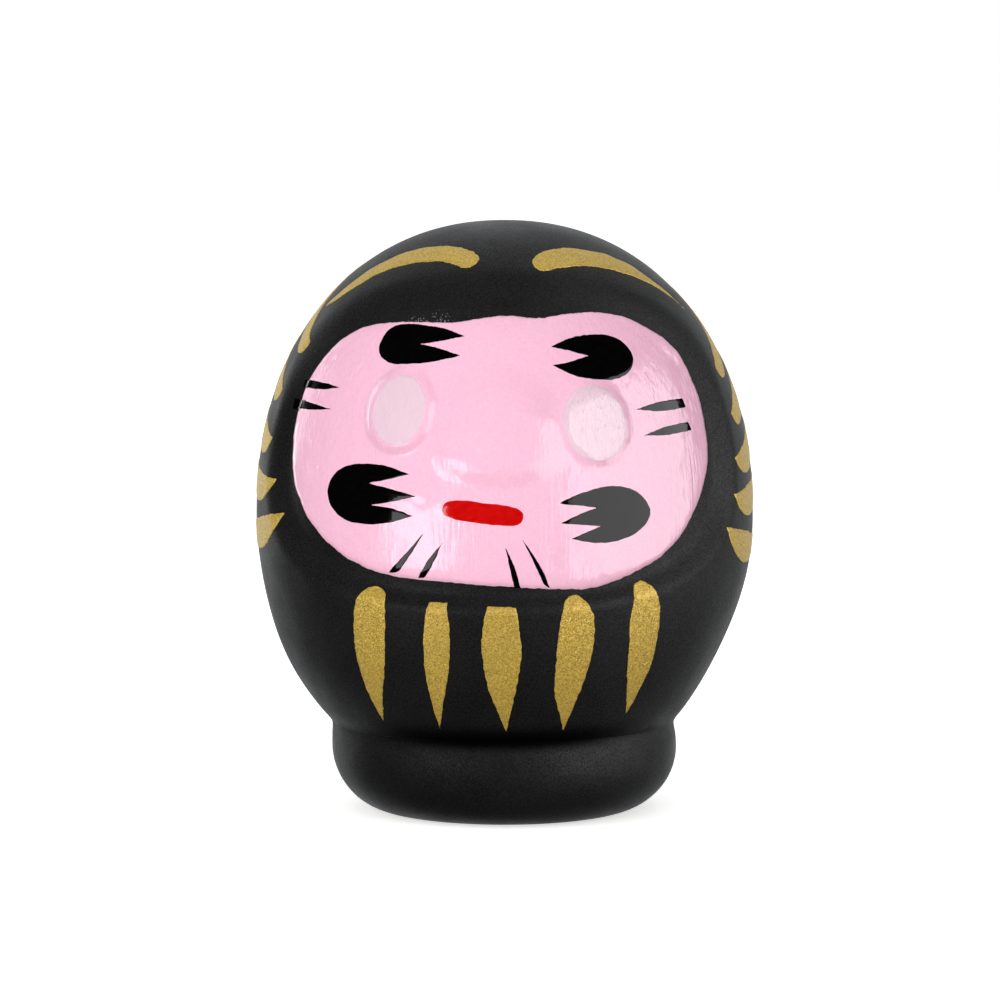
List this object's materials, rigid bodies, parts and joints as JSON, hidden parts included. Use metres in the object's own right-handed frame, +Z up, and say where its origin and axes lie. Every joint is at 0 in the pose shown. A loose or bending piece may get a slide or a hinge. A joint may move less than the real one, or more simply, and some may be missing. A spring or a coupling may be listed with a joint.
{
  "type": "daruma doll",
  "caption": "Small round papier-mache daruma doll on a clay weight, matte black with a glossy pink face, blank eyes, black brush strokes and gold strokes.",
  "frame": {"origin": "centre of the underside, in the plane of the table that the doll stands on", "axes": "+Z up the doll's axis, -Y the way the face looks, +X to the right of a viewer who faces the doll"},
  "size_m": [0.0512, 0.0509, 0.06],
  "materials": {
    "black_shell": "matte",
    "black_clay": "matte",
    "hide_glue": "satin",
    "pink_enamel": "gloss",
    "eye_white": "satin",
    "black_enamel": "gloss",
    "red_enamel": "gloss",
    "gold_paint": "satin"
  },
  "bodies": {
    "root": {"body_shell": "black_shell", "base_weight": "black_clay", "glue_bead": "hide_glue", "face_enamel": "pink_enamel", "mouth": "red_enamel", "eye_left": "eye_white", "eye_right": "eye_white", "brow_left": "black_enamel", "brow_right": "black_enamel", "moustache_left": "black_enamel", "moustache_right": "black_enamel", "temple_whisker_left_upper": "black_enamel", "temple_whisker_left_lower": "black_enamel", "temple_whisker_right_upper": "black_enamel", "temple_whisker_right_lower": "black_enamel", "chin_whisker_left_outer": "black_enamel", "chin_whisker_left_inner": "black_enamel", "chin_whisker_right_inner": "black_enamel", "chin_whisker_right_outer": "black_enamel", "gold_forehead_left": "gold_paint", "gold_forehead_right": "gold_paint", "gold_chest_1": "gold_paint", "gold_chest_2": "gold_paint", "gold_chest_3": "gold_paint", "gold_chest_4": "gold_paint", "gold_chest_5": "gold_paint", "gold_side_left_1": "gold_paint", "gold_side_left_2": "gold_paint", "gold_side_left_3": "gold_paint", "gold_side_left_4": "gold_paint", "gold_side_left_5": "gold_paint", "gold_side_right_1": "gold_paint", "gold_side_right_2": "gold_paint", "gold_side_right_3": "gold_paint", "gold_side_right_4": "gold_paint", "gold_side_right_5": "gold_paint"}
  },
  "joints": []
}
